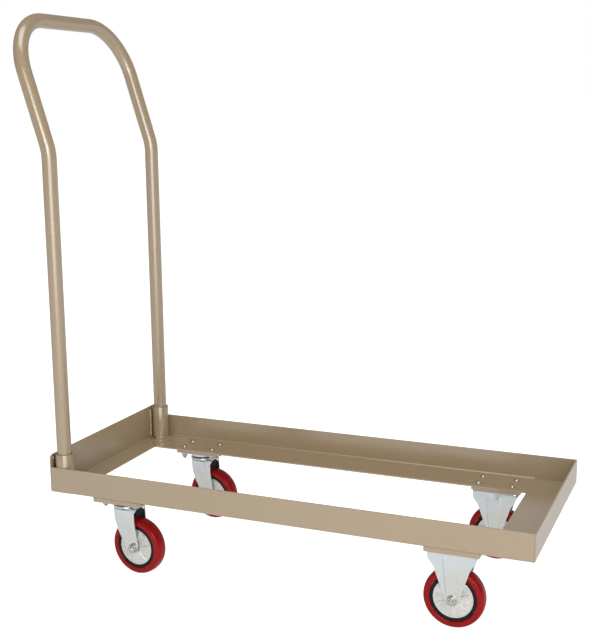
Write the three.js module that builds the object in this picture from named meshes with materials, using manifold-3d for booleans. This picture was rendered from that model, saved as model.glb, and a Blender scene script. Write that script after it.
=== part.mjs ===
// Open-frame dolly for stacked furniture: four bent steel sections welded into a shallow tray,
// a push handle that stands in two corner sockets, two swivel casters under the handle end and
// two rigid casters under the nose end.
//
// Millimetres, +Z up. +X points from the handle to the nose, +Y to the left of a person pushing.
// The origin is on the floor, under the middle of the whole dolly with its handle.

import * as THREE from 'three';
import { mergeVertices } from 'three/addons/utils/BufferGeometryUtils.js';
import Module from 'manifold-3d';

const wasm = await Module();
wasm.setup();

// ---- driving dimensions ------------------------------------------------------------------

const FRAME_LENGTH = 1067;
const FRAME_WIDTH = 470;
const FRAME_UNDERSIDE = 177; // height of the frame's underside above the floor
const SIDE_WALL = 57;
const HANDLE_END_WALL = 85;
const SIDE_FLANGE = 100;
const HANDLE_END_FLANGE = 49;
const NOSE_END_FLANGE = 91;
const SHEET = 3;
const BEND_RADIUS = 6; // outside of the bend
const HANDLE_END_CORNER = 11; // rounded top corners of the tall end wall

const GAP = 0.3; // between pieces that touch

const TUBE_RADIUS = 15.875; // 1 1/4 inch handle tube
const TUBE_WALL = 2;
const SOCKET_RADIUS = 20;
const SOCKET_BORE_RADIUS = 17.2;
const SOCKET_LIFT = 2.2; // the socket's foot stands clear of the inside of the bend
const POST_INSET = SHEET + GAP + SOCKET_RADIUS; // post axis in from the outer faces
const HANDLE_BEND_HEIGHT = 921; // where the posts lean back, above the floor
const HANDLE_LEAN = THREE.MathUtils.degToRad(17.18);
const HANDLE_LEAN_LENGTH = 289.3; // from the bend to the crossbar's axis
const HANDLE_BEND_RADIUS = 120;
const HANDLE_CORNER_RADIUS = 119;

const PAD_LENGTH = 110;
const PAD_WIDTH = 89;
const PAD_THICKNESS = 9.5;
const PAD_FROM_END = 161; // pad centre to the nearer end of the frame
const PAD_SETBACK = SHEET;

const CASTER_FROM_SIDE = 54; // caster centre in from the outer side face
const SWIVEL_FROM_END = 158;
const RIGID_FROM_END = 165;
const SWIVEL_TRAIL = 33; // axle behind the swivel axis
const SWIVEL_REST_TURN = THREE.MathUtils.degToRad(-6);

const PLATE_LENGTH = 96;
const PLATE_WIDTH = 66;
const PLATE_THICKNESS = 2.5;
const PLATE_CORNER = 8;
const BOLT_SPACING_X = 76.2;
const BOLT_SPACING_Y = 44.45;
const BOLT_RADIUS = 3.9;
const BOLT_HOLE_RADIUS = 4.5;
const BOLT_HEAD_RADIUS = 6.8;
const BOLT_HEAD_TOP_RADIUS = 5.6;
const BOLT_HEAD_EDGE = 2.4; // height of the head where its top starts to close
const BOLT_HEAD_HEIGHT = 3.6;
const BOLT_NUT_RADIUS = 7.5; // to a corner of the nut
const BOLT_NUT_HEIGHT = 6.2;

const WHEEL_RADIUS = 62.5;
const TREAD_HALF_WIDTH = 15.8;
const TREAD_CROWN = 1; // the middle of the tread stands this far above its edges
const TYRE_SHOULDER = 6;
const RIM_RADIUS = 47.8;
const RIM_HALF_WIDTH = 14.8;
const WEB_HALF_WIDTH = 3;
const HUB_RADIUS = 11;
const HUB_HALF_WIDTH = 18;
const COVER_RADIUS = 40.6;
const COVER_EDGE_OUT = 14.2; // outer face of a cover at its edge, from the wheel's middle plane
const COVER_HUB_OUT = 16.4;
const COVER_THICKNESS = 1.2;

const AXLE_RADIUS = 5;
const AXLE_HOLE_RADIUS = 5.4;
const AXLE_NUT_RADIUS = 9.6; // to a corner of the nut, and of the bolt's head
const AXLE_NUT_HEIGHT = 8;
const AXLE_HEAD_HEIGHT = 6.4;
const AXLE_THREAD_LENGTH = 11; // from the seat of the nut to the end of the bolt
const AXLE_NUT_STANDOFF = 1.2; // clears the lean of the rigid fork's legs

const LEG_OUTER = 22; // outer face of a fork leg, from the wheel's middle plane
const LEG_THICKNESS = 2.5;
const LEG_END_RADIUS = 11.5; // rounded end of a swivel leg, about the axle
const LEG_FRONT = -20; // leading edge of the swivel legs, ahead of the swivel axis
const LEG_BACK = 34;
const BRIDGE_THICKNESS = 3; // web that joins the swivel legs under the crown
const FORK_TOP_RADIUS = 39.7; // the top of the turning fork passes inside the bolts

const RACE_RADIUS = 27.5;
const RACE_FOOT_RADIUS = 25;
const BALL_RING_RADIUS = 25.5;
const BALL_RING_BORE_RADIUS = 21;
const CROWN_RADIUS = 28.5;
const KINGPIN_RADIUS = 6;
const KINGPIN_BORE_RADIUS = 6.7;
const KINGPIN_HEAD_RADIUS = 9.3;
const KINGPIN_HEAD_RECESS = 2; // depth of the recess below the plate
const KINGPIN_NUT_RADIUS = 10.5; // to a corner of the nut
const KINGPIN_NUT_HEIGHT = 6;
const KINGPIN_END = 1; // of the pin below its nut

// ---- heights below the underside of a caster pad -------------------------------------------

const PAD_UNDERSIDE = FRAME_UNDERSIDE - PAD_THICKNESS;
const PLATE_TOP = -GAP;
const PLATE_BOTTOM = PLATE_TOP - PLATE_THICKNESS;
const RACE_BOTTOM = -9.8;
const CROWN_TOP = -12.9;
const CROWN_BOTTOM = -17.9;
const BOLT_END = -16.6;
const FORK_TRIM = -20; // the fork is trimmed to FORK_TOP_RADIUS above this
const AXLE_DROP = WHEEL_RADIUS - PAD_UNDERSIDE;

// ---- frame edges ---------------------------------------------------------------------------

const HANDLE_OVERHANG =
  HANDLE_LEAN_LENGTH * Math.sin(HANDLE_LEAN) + TUBE_RADIUS - POST_INSET;
const NOSE_X = (FRAME_LENGTH + HANDLE_OVERHANG) / 2;
const HANDLE_END_X = NOSE_X - FRAME_LENGTH;
const SIDE_Y = FRAME_WIDTH / 2;
const FLANGE_TOP = FRAME_UNDERSIDE + SHEET;

const TAU = 2 * Math.PI;

// Flat sides that stand for a full turn of each kind of round piece.
const TYRE_SIDES = 28;
const WHEEL_SIDES = 20;
const TUBE_SIDES = 16;
const PIN_SIDES = 10;
const HOLE_SIDES = 8;
const HEX_SIDES = 6;

// ---- materials -----------------------------------------------------------------------------

const paint = new THREE.MeshStandardMaterial({ color: 0xa8957c, roughness: 0.38, metalness: 0.1 });
const zinc = new THREE.MeshStandardMaterial({ color: 0xc4caca, roughness: 0.3, metalness: 0.9 });
const polyurethane = new THREE.MeshStandardMaterial({ color: 0x9c1b20, roughness: 0.25, metalness: 0 });
const blackPlastic = new THREE.MeshStandardMaterial({ color: 0x17181a, roughness: 0.5, metalness: 0 });
const coverPlastic = new THREE.MeshStandardMaterial({ color: 0xd9d6cf, roughness: 0.4, metalness: 0.3 });
const bearingSteel = new THREE.MeshStandardMaterial({ color: 0x4a4d50, roughness: 0.35, metalness: 0.9 });

// ---- solids --------------------------------------------------------------------------------

function signedVolume(geometry) {
  const position = geometry.getAttribute('position');
  const index = geometry.getIndex();
  const a = new THREE.Vector3();
  const b = new THREE.Vector3();
  const c = new THREE.Vector3();
  let volume = 0;
  for (let i = 0; i < index.count; i += 3) {
    a.fromBufferAttribute(position, index.getX(i));
    b.fromBufferAttribute(position, index.getX(i + 1));
    c.fromBufferAttribute(position, index.getX(i + 2));
    volume += a.dot(b.cross(c)) / 6;
  }
  return volume;
}

// Merges the shared vertices of a closed shape and turns its faces outward.
function closed(geometry) {
  const bare = geometry.clone();
  bare.deleteAttribute('normal');
  bare.deleteAttribute('uv');
  const merged = mergeVertices(bare, 1e-4);
  if (signedVolume(merged) < 0) {
    merged.setIndex(Array.from(merged.getIndex().array).reverse());
  }
  merged.computeVertexNormals();
  return merged;
}

function toSolid(geometry) {
  const merged = closed(geometry);
  return new wasm.Manifold(new wasm.Mesh({
    numProp: 3,
    vertProperties: new Float32Array(merged.getAttribute('position').array),
    triVerts: new Uint32Array(merged.getIndex().array),
  }));
}

function fromSolid(solid) {
  const mesh = solid.getMesh();
  const geometry = new THREE.BufferGeometry();
  geometry.setAttribute('position', new THREE.BufferAttribute(mesh.vertProperties, 3));
  geometry.setIndex(new THREE.BufferAttribute(mesh.triVerts, 1));
  geometry.computeVertexNormals();
  return geometry;
}

function join(geometries) {
  return fromSolid(geometries.map(toSolid).reduce((whole, piece) => whole.add(piece)));
}

function cut(geometry, cutters) {
  return fromSolid(cutters.map(toSolid).reduce((rest, cutter) => rest.subtract(cutter), toSolid(geometry)));
}

function box(x0, x1, y0, y1, z0, z1) {
  const geometry = new THREE.BoxGeometry(x1 - x0, y1 - y0, z1 - z0);
  return geometry.translate((x0 + x1) / 2, (y0 + y1) / 2, (z0 + z1) / 2);
}

// An upright cylinder on the point (x, y), or a prism with few sides.
function post(radius, z0, z1, x = 0, y = 0, sides = PIN_SIDES) {
  const geometry = new THREE.CylinderGeometry(radius, radius, z1 - z0, sides);
  return geometry.rotateX(Math.PI / 2).translate(x, y, (z0 + z1) / 2);
}

// A cylinder along Y through the point (x, z).
function crossPin(radius, y0, y1, x = 0, z = 0, sides = PIN_SIDES) {
  const geometry = new THREE.CylinderGeometry(radius, radius, y1 - y0, sides);
  return geometry.translate(x, (y0 + y1) / 2, z);
}

function extrude(shape, depth, curveSegments = 3) {
  return new THREE.ExtrudeGeometry(shape, { depth, bevelEnabled: false, curveSegments });
}

// A ring turned about Y from a section given as radius and distance along the axis.
function turned(section, segments) {
  const points = [...section, section[0]].map(([radius, along]) => new THREE.Vector2(radius, along));
  return closed(new THREE.LatheGeometry(points, segments));
}

const dolly = new THREE.Group();

function place(name, geometry, material, parent = dolly) {
  const mesh = new THREE.Mesh(geometry, material);
  mesh.name = name;
  parent.add(mesh);
  return mesh;
}

// ---- frame ---------------------------------------------------------------------------------

// Section of a bent sheet: the wall stands at 0 and the flange runs to +x, both from height 0.
function angleSection(wall, flange) {
  const inner = BEND_RADIUS - SHEET;
  const shape = new THREE.Shape();
  shape.moveTo(flange, 0);
  shape.lineTo(flange, SHEET);
  shape.lineTo(BEND_RADIUS, SHEET);
  shape.absarc(BEND_RADIUS, BEND_RADIUS, inner, -Math.PI / 2, -Math.PI, true);
  shape.lineTo(SHEET, wall);
  shape.lineTo(0, wall);
  shape.lineTo(0, BEND_RADIUS);
  shape.absarc(BEND_RADIUS, BEND_RADIUS, BEND_RADIUS, Math.PI, 1.5 * Math.PI, false);
  return shape;
}

const corners = [
  { name: 'rear_right', end: -1, side: -1 },
  { name: 'rear_left', end: -1, side: 1 },
  { name: 'front_right', end: 1, side: -1 },
  { name: 'front_left', end: 1, side: 1 },
];

function casterCentre({ end, side }) {
  const x = end < 0 ? HANDLE_END_X + SWIVEL_FROM_END : NOSE_X - RIGID_FROM_END;
  return [x, side * (SIDE_Y - CASTER_FROM_SIDE)];
}

function boltCentres(corner) {
  const [x, y] = casterCentre(corner);
  const signs = [[-1, -1], [-1, 1], [1, -1], [1, 1]];
  return signs.map(([sx, sy]) => [x + sx * BOLT_SPACING_X / 2, y + sy * BOLT_SPACING_Y / 2]);
}

// The side rail runs between the end walls, and its flange between the end flanges.
function sideRail(side) {
  const x0 = HANDLE_END_X + SHEET + GAP;
  const x1 = NOSE_X - SHEET - GAP;
  const section = extrude(angleSection(SIDE_WALL, SIDE_FLANGE), x1 - x0);
  section.rotateX(Math.PI / 2).rotateZ(Math.PI / 2); // section along X, wall on -Y
  section.translate(x0, -SIDE_Y, FRAME_UNDERSIDE);
  const wallInside = -SIDE_Y + SHEET;
  const flangeEdge = -SIDE_Y + SIDE_FLANGE + 1;
  const notchTop = FRAME_UNDERSIDE + BEND_RADIUS + 1;
  const low = FRAME_UNDERSIDE - 1;
  const rearNotch = box(x0 - 1, HANDLE_END_X + HANDLE_END_FLANGE + GAP, wallInside, flangeEdge, low, notchTop);
  const noseNotch = box(NOSE_X - NOSE_END_FLANGE - GAP, x1 + 1, wallInside, flangeEdge, low, notchTop);
  const holes = corners
    .filter((corner) => corner.side < 0)
    .flatMap(boltCentres)
    .map(([x, y]) => post(BOLT_HOLE_RADIUS, low, FLANGE_TOP + 1, x, y, HOLE_SIDES));
  const rail = cut(section, [rearNotch, noseNotch, ...holes]);
  return side < 0 ? rail : closed(rail.scale(1, -1, 1));
}

// An end rail's wall is as wide as the frame, and its flange fits between the side walls.
function endRail(end, wall, flange) {
  const section = extrude(angleSection(wall, flange), FRAME_WIDTH);
  section.rotateX(Math.PI / 2).translate(0, SIDE_Y, FRAME_UNDERSIDE);
  if (end > 0) section.rotateZ(Math.PI);
  section.translate(end < 0 ? HANDLE_END_X : NOSE_X, 0, 0);
  const wallInside = end < 0 ? HANDLE_END_X + SHEET : NOSE_X - SHEET;
  const reach = end < 0 ? wallInside + flange : wallInside - flange;
  const [x0, x1] = [Math.min(wallInside, reach), Math.max(wallInside, reach)];
  const clear = SIDE_Y - SHEET - GAP;
  const top = FRAME_UNDERSIDE + BEND_RADIUS + 1;
  return cut(section, [
    box(x0, x1, clear, SIDE_Y + 1, FRAME_UNDERSIDE - 1, top),
    box(x0, x1, -SIDE_Y - 1, -clear, FRAME_UNDERSIDE - 1, top),
  ]);
}

// The corner left outside a rounded wall corner, as a cutter along X.
function cornerCutter(side) {
  const r = HANDLE_END_CORNER;
  const shape = new THREE.Shape();
  shape.moveTo(-r, 0);
  shape.absarc(-r, -r, r, Math.PI / 2, 0, true);
  shape.lineTo(1, -r);
  shape.lineTo(1, 1);
  shape.lineTo(-r, 1);
  const cutter = extrude(shape, SHEET + 2);
  cutter.rotateX(Math.PI / 2).rotateZ(Math.PI / 2);
  cutter.translate(HANDLE_END_X - 1, SIDE_Y, FRAME_UNDERSIDE + HANDLE_END_WALL);
  return side > 0 ? cutter : closed(cutter.scale(1, -1, 1));
}

function casterPad(corner) {
  const x = corner.end < 0 ? HANDLE_END_X + PAD_FROM_END : NOSE_X - PAD_FROM_END;
  const y = corner.side * (SIDE_Y - PAD_SETBACK - PAD_WIDTH / 2);
  const top = FRAME_UNDERSIDE - GAP;
  const [dx, dy] = [PAD_LENGTH / 2, PAD_WIDTH / 2];
  const plate = box(x - dx, x + dx, y - dy, y + dy, PAD_UNDERSIDE, top);
  const holes = boltCentres(corner)
    .map(([hx, hy]) => post(BOLT_HOLE_RADIUS, PAD_UNDERSIDE - 1, top + 1, hx, hy, HOLE_SIDES));
  return cut(plate, holes);
}

function ringShape(outer, inner) {
  const shape = new THREE.Shape();
  shape.absarc(0, 0, outer, 0, TAU, false);
  const hole = new THREE.Path();
  hole.absarc(0, 0, inner, 0, TAU, true);
  shape.holes.push(hole);
  return shape;
}

function addFrame() {
  place('side_rail_right', sideRail(-1), paint);
  place('side_rail_left', sideRail(1), paint);
  place('nose_end_rail', endRail(1, SIDE_WALL, NOSE_END_FLANGE), paint);
  const tallRail = endRail(-1, HANDLE_END_WALL, HANDLE_END_FLANGE);
  place('handle_end_rail', cut(tallRail, [cornerCutter(1), cornerCutter(-1)]), paint);
  const socketHeight = FRAME_UNDERSIDE + HANDLE_END_WALL - FLANGE_TOP - SOCKET_LIFT;
  const socket = extrude(ringShape(SOCKET_RADIUS, SOCKET_BORE_RADIUS), socketHeight, TUBE_SIDES / 2);
  for (const [name, side] of [['socket_right', -1], ['socket_left', 1]]) {
    const mesh = place(name, closed(socket), paint);
    mesh.position.set(HANDLE_END_X + POST_INSET, side * (SIDE_Y - POST_INSET), FLANGE_TOP + SOCKET_LIFT);
  }
  for (const corner of corners) place(`caster_pad_${corner.name}`, casterPad(corner), paint);
}

// ---- push handle ---------------------------------------------------------------------------

// A path through stations, with one step of the sweep for each stretch between two of them.
class StationPath extends THREE.Curve {
  constructor(stations) {
    super();
    this.stations = stations;
  }

  getPoint(t, target = new THREE.Vector3()) {
    const steps = this.stations.length - 1;
    const along = THREE.MathUtils.clamp(t, 0, 1) * steps;
    const first = Math.min(Math.floor(along), steps - 1);
    return target.lerpVectors(this.stations[first], this.stations[first + 1], along - first);
  }

  getUtoTmapping(u) {
    return u;
  }
}

// Stations of an arc that starts at a point, leaves along one direction and turns to another.
function bend(start, from, to, radius, steps) {
  const angle = from.angleTo(to);
  const inward = to.clone().addScaledVector(from, -to.dot(from)).normalize();
  const stations = [];
  for (let i = 0; i <= steps; i += 1) {
    const turn = (angle * i) / steps;
    stations.push(start.clone()
      .addScaledVector(from, radius * Math.sin(turn))
      .addScaledVector(inward, radius * (1 - Math.cos(turn))));
  }
  return stations;
}

function handleStations() {
  const up = new THREE.Vector3(0, 0, 1);
  const lean = new THREE.Vector3(-Math.sin(HANDLE_LEAN), 0, Math.cos(HANDLE_LEAN));
  const across = new THREE.Vector3(0, 1, 0);
  const x = HANDLE_END_X + POST_INSET;
  const y = -(SIDE_Y - POST_INSET);
  const tangent = HANDLE_BEND_RADIUS * Math.tan(HANDLE_LEAN / 2);
  const foot = new THREE.Vector3(x, y, FLANGE_TOP + 2 * GAP);
  const bendStart = new THREE.Vector3(x, y, HANDLE_BEND_HEIGHT - tangent);
  const cornerStart = new THREE.Vector3(x, y, HANDLE_BEND_HEIGHT)
    .addScaledVector(lean, HANDLE_LEAN_LENGTH - HANDLE_CORNER_RADIUS);
  const half = [
    foot,
    ...bend(bendStart, up, lean, HANDLE_BEND_RADIUS, 3),
    ...bend(cornerStart, lean, across, HANDLE_CORNER_RADIUS, 9),
  ];
  const mirrored = half.map((point) => new THREE.Vector3(point.x, -point.y, point.z)).reverse();
  return [...half, ...mirrored];
}

function addHandle() {
  const stations = handleStations();
  const tube = new THREE.ExtrudeGeometry(ringShape(TUBE_RADIUS, TUBE_RADIUS - TUBE_WALL), {
    steps: stations.length - 1,
    extrudePath: new StationPath(stations),
    curveSegments: TUBE_SIDES / 2,
  });
  place('push_handle', closed(tube), paint);
}

// ---- caster fasteners ----------------------------------------------------------------------

// A round-headed bolt standing through flange, pad and plate, with its nut below.
function casterBolt() {
  const headBase = FLANGE_TOP + GAP - PAD_UNDERSIDE;
  const head = new THREE.LatheGeometry([
    new THREE.Vector2(0, headBase),
    new THREE.Vector2(BOLT_HEAD_RADIUS, headBase),
    new THREE.Vector2(BOLT_HEAD_TOP_RADIUS, headBase + BOLT_HEAD_EDGE),
    new THREE.Vector2(0, headBase + BOLT_HEAD_HEIGHT),
  ], PIN_SIDES).rotateX(Math.PI / 2);
  const nutTop = PLATE_BOTTOM - GAP;
  const nut = post(BOLT_NUT_RADIUS, nutTop - BOLT_NUT_HEIGHT, nutTop, 0, 0, HEX_SIDES);
  nut.rotateZ(Math.PI / HEX_SIDES); // flats face the legs
  const shank = post(BOLT_RADIUS, BOLT_END, headBase + GAP, 0, 0, HOLE_SIDES);
  return join([head, nut, shank]);
}

function addCasterBolts() {
  const bolt = casterBolt();
  for (const corner of corners) {
    boltCentres(corner).forEach(([x, y], i) => {
      const mesh = place(`caster_bolt_${corner.name}_${i + 1}`, bolt, zinc);
      mesh.position.set(x, y, PAD_UNDERSIDE);
    });
  }
}

// ---- caster plates and forks ---------------------------------------------------------------

function plateGeometry() {
  const [dx, dy, r] = [PLATE_LENGTH / 2, PLATE_WIDTH / 2, PLATE_CORNER];
  const shape = new THREE.Shape();
  shape.moveTo(-dx + r, -dy);
  shape.absarc(dx - r, -dy + r, r, -Math.PI / 2, 0, false);
  shape.absarc(dx - r, dy - r, r, 0, Math.PI / 2, false);
  shape.absarc(-dx + r, dy - r, r, Math.PI / 2, Math.PI, false);
  shape.absarc(-dx + r, -dy + r, r, Math.PI, 1.5 * Math.PI, false);
  return extrude(shape, PLATE_THICKNESS, 2).translate(0, 0, PLATE_BOTTOM);
}

function plateHoles() {
  const signs = [[-1, -1], [-1, 1], [1, -1], [1, 1]];
  return signs.map(([sx, sy]) => post(
    BOLT_HOLE_RADIUS, PLATE_BOTTOM - 1, 1, sx * BOLT_SPACING_X / 2, sy * BOLT_SPACING_Y / 2, HOLE_SIDES,
  ));
}

// A leg cut from sheet, its outline in X and Z, its outer face at LEG_OUTER on +Y.
function leg(outline) {
  return extrude(outline, LEG_THICKNESS, 4).rotateX(Math.PI / 2).translate(0, LEG_OUTER, 0);
}

function bothSides(geometry) {
  return [geometry, closed(geometry.clone().scale(1, -1, 1))];
}

// The swivel plate with its pressed race and a recess for the kingpin's head.
function swivelPlate() {
  const sunk = PLATE_BOTTOM + PLATE_THICKNESS / 2; // the race starts inside the plate
  const race = new THREE.CylinderGeometry(RACE_RADIUS, RACE_FOOT_RADIUS, sunk - RACE_BOTTOM, WHEEL_SIDES);
  race.rotateX(Math.PI / 2).translate(0, 0, (sunk + RACE_BOTTOM) / 2);
  const recess = post(KINGPIN_HEAD_RADIUS + GAP, PLATE_BOTTOM - KINGPIN_HEAD_RECESS, 1);
  const bore = post(KINGPIN_RADIUS + GAP, RACE_BOTTOM - 1, 1);
  return cut(join([plateGeometry(), race]), [recess, bore, ...plateHoles()]);
}

function kingpin() {
  const headBottom = PLATE_BOTTOM - KINGPIN_HEAD_RECESS + GAP;
  const nutTop = CROWN_BOTTOM - GAP;
  const nutBottom = nutTop - KINGPIN_NUT_HEIGHT;
  return join([
    post(KINGPIN_HEAD_RADIUS, headBottom, PLATE_TOP - GAP),
    post(KINGPIN_RADIUS, nutBottom - KINGPIN_END, headBottom + 1),
    post(KINGPIN_NUT_RADIUS, nutBottom, nutTop, 0, 0, HEX_SIDES),
  ]);
}

function ballRing() {
  const ring = post(BALL_RING_RADIUS, CROWN_TOP + GAP, RACE_BOTTOM - GAP, 0, 0, WHEEL_SIDES);
  return cut(ring, [post(BALL_RING_BORE_RADIUS, CROWN_TOP, RACE_BOTTOM, 0, 0, WHEEL_SIDES)]);
}

// Drops straight from the crown, sweeps back below the knee and rounds the axle.
function swivelLegOutline() {
  const kneeZ = -32;
  const sweep = { pull: [-17, -60], end: [0, -86] };
  const shin = [9, -101];
  const heelPull = [16, -113.5];
  const round = LEG_END_RADIUS;
  const roundStart = -2 * Math.PI / 3;
  const top = CROWN_BOTTOM + BRIDGE_THICKNESS - 1;
  const shape = new THREE.Shape();
  shape.moveTo(LEG_FRONT, top);
  shape.lineTo(LEG_FRONT, kneeZ);
  shape.quadraticCurveTo(...sweep.pull, ...sweep.end);
  shape.lineTo(...shin);
  shape.quadraticCurveTo(
    ...heelPull, SWIVEL_TRAIL + round * Math.cos(roundStart), AXLE_DROP + round * Math.sin(roundStart),
  );
  shape.absarc(SWIVEL_TRAIL, AXLE_DROP, round, roundStart, 0, false);
  shape.lineTo(LEG_BACK, top);
  return shape;
}

function axleBore(x) {
  return crossPin(AXLE_HOLE_RADIUS, -PLATE_WIDTH, PLATE_WIDTH, x, AXLE_DROP);
}

function swivelFork() {
  const crown = post(CROWN_RADIUS, CROWN_BOTTOM, CROWN_TOP, 0, 0, WHEEL_SIDES);
  const bridgeTop = CROWN_BOTTOM + BRIDGE_THICKNESS;
  const bridge = box(LEG_FRONT, LEG_BACK, -LEG_OUTER, LEG_OUTER, CROWN_BOTTOM, bridgeTop);
  const fork = join([crown, bridge, ...bothSides(leg(swivelLegOutline()))]);
  const outside = extrude(ringShape(2 * FORK_TOP_RADIUS, FORK_TOP_RADIUS), CROWN_TOP - FORK_TRIM, TYRE_SIDES);
  return cut(fork, [
    outside.translate(0, 0, FORK_TRIM),
    post(KINGPIN_BORE_RADIUS, CROWN_BOTTOM - 1, CROWN_TOP + 1),
    axleBore(SWIVEL_TRAIL),
  ]);
}

// Hangs from the long edge of the plate as a wide skirt that narrows to the axle.
function rigidLegOutline() {
  const half = PLATE_LENGTH / 2;
  const skirtZ = -18;
  const skirtPull = [half - 5, -31];
  const neck = [36, -38];
  const ankle = [16, -100];
  const toeZ = -118;
  const toePulls = [14, -112, 8, toeZ];
  const [x1, z1, x2, z2] = toePulls;
  const shape = new THREE.Shape();
  shape.moveTo(-half, PLATE_BOTTOM + 1);
  shape.lineTo(-half, skirtZ);
  shape.quadraticCurveTo(-skirtPull[0], skirtPull[1], -neck[0], neck[1]);
  shape.lineTo(-ankle[0], ankle[1]);
  shape.bezierCurveTo(-x1, z1, -x2, z2, 0, toeZ);
  shape.bezierCurveTo(x2, z2, x1, z1, ...ankle);
  shape.lineTo(...neck);
  shape.quadraticCurveTo(...skirtPull, half, skirtZ);
  shape.lineTo(half, PLATE_BOTTOM + 1);
  return shape;
}

// The rigid fork's legs lean out from the axle to the long edges of its plate.
function rigidFork() {
  const lean = Math.atan2(PLATE_WIDTH / 2 - LEG_OUTER, PLATE_BOTTOM - AXLE_DROP);
  const leaning = leg(rigidLegOutline())
    .translate(0, -LEG_OUTER, -AXLE_DROP).rotateX(-lean).translate(0, LEG_OUTER, AXLE_DROP);
  const fork = join([plateGeometry(), ...bothSides(leaning)]);
  const above = box(-PLATE_LENGTH, PLATE_LENGTH, -PLATE_WIDTH, PLATE_WIDTH, PLATE_TOP, PLATE_TOP + SHEET);
  return cut(fork, [above, ...plateHoles(), axleBore(0)]);
}

// ---- wheels --------------------------------------------------------------------------------

function tyre() {
  const shoulderR = WHEEL_RADIUS - TREAD_CROWN - TYRE_SHOULDER;
  const shoulderY = TREAD_HALF_WIDTH - TYRE_SHOULDER;
  const shoulderSteps = 2;
  const shoulderTurn = THREE.MathUtils.degToRad(75); // from the side face toward the tread
  const half = [[RIM_RADIUS + GAP, RIM_HALF_WIDTH]];
  for (let i = 0; i <= shoulderSteps; i += 1) {
    const turn = Math.PI / 2 - (i / shoulderSteps) * shoulderTurn;
    half.push([shoulderR + TYRE_SHOULDER * Math.cos(turn), shoulderY + TYRE_SHOULDER * Math.sin(turn)]);
  }
  const other = half.map(([r, y]) => [r, -y]).reverse();
  return turned([...half, [WHEEL_RADIUS, 0], ...other], TYRE_SIDES);
}

function wheelCore() {
  const half = [
    [AXLE_HOLE_RADIUS, HUB_HALF_WIDTH],
    [HUB_RADIUS, HUB_HALF_WIDTH],
    [HUB_RADIUS, WEB_HALF_WIDTH],
    [COVER_RADIUS + GAP, WEB_HALF_WIDTH],
    [COVER_RADIUS + GAP, RIM_HALF_WIDTH],
    [RIM_RADIUS, RIM_HALF_WIDTH],
  ];
  const other = half.map(([r, y]) => [r, -y]).reverse();
  return turned([...half, ...other], WHEEL_SIDES);
}

function hubCover() {
  return turned([
    [HUB_RADIUS + GAP, COVER_HUB_OUT],
    [COVER_RADIUS, COVER_EDGE_OUT],
    [COVER_RADIUS, COVER_EDGE_OUT - COVER_THICKNESS],
    [HUB_RADIUS + GAP, COVER_HUB_OUT - COVER_THICKNESS],
  ], WHEEL_SIDES);
}

// The axle bolt, its nut on -Y and its head on +Y.
function axleBolt() {
  const seat = LEG_OUTER + AXLE_NUT_STANDOFF;
  return join([
    crossPin(AXLE_RADIUS, -seat - AXLE_THREAD_LENGTH, seat + 1),
    crossPin(AXLE_NUT_RADIUS, -seat - AXLE_NUT_HEIGHT, -seat, 0, 0, HEX_SIDES),
    crossPin(AXLE_NUT_RADIUS, seat, seat + AXLE_HEAD_HEIGHT, 0, 0, HEX_SIDES),
  ]);
}

const shared = {
  tyre: tyre(),
  core: wheelCore(),
  cover: hubCover(),
  axle: axleBolt(),
  swivelPlate: swivelPlate(),
  ballRing: ballRing(),
  kingpin: kingpin(),
  swivelFork: swivelFork(),
  rigidFork: rigidFork(),
};

function addWheel(corner, parent, axleX) {
  const wheel = new THREE.Group();
  wheel.position.set(axleX, 0, AXLE_DROP);
  parent.add(wheel);
  place(`tyre_${corner.name}`, shared.tyre, polyurethane, wheel);
  place(`wheel_core_${corner.name}`, shared.core, blackPlastic, wheel);
  place(`axle_bolt_${corner.name}`, shared.axle, zinc, wheel);
  place(`hub_cover_left_${corner.name}`, shared.cover, coverPlastic, wheel);
  const right = place(`hub_cover_right_${corner.name}`, shared.cover, coverPlastic, wheel);
  right.rotation.z = Math.PI;
}

function addCasters() {
  for (const corner of corners) {
    const [x, y] = casterCentre(corner);
    const caster = new THREE.Group();
    caster.position.set(x, y, PAD_UNDERSIDE);
    dolly.add(caster);
    if (corner.end > 0) {
      place(`rigid_fork_${corner.name}`, shared.rigidFork, zinc, caster);
      addWheel(corner, caster, 0);
      continue;
    }
    place(`swivel_plate_${corner.name}`, shared.swivelPlate, zinc, caster);
    place(`kingpin_${corner.name}`, shared.kingpin, zinc, caster);
    const turning = new THREE.Group();
    turning.rotation.z = SWIVEL_REST_TURN;
    caster.add(turning);
    place(`ball_ring_${corner.name}`, shared.ballRing, bearingSteel, turning);
    place(`swivel_fork_${corner.name}`, shared.swivelFork, zinc, turning);
    addWheel(corner, turning, SWIVEL_TRAIL);
  }
}

addFrame();
addHandle();
addCasterBolts();
addCasters();

export default dolly;
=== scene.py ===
"""Furniture dolly with an open frame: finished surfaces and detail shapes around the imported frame.

Metres in the scene, millimetres in the shape functions. +Z up, +X from the handle to the nose,
+Y to the left of a person pushing.
"""

import math
import random

import bmesh
import bpy
from mathutils import Matrix, Vector


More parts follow.
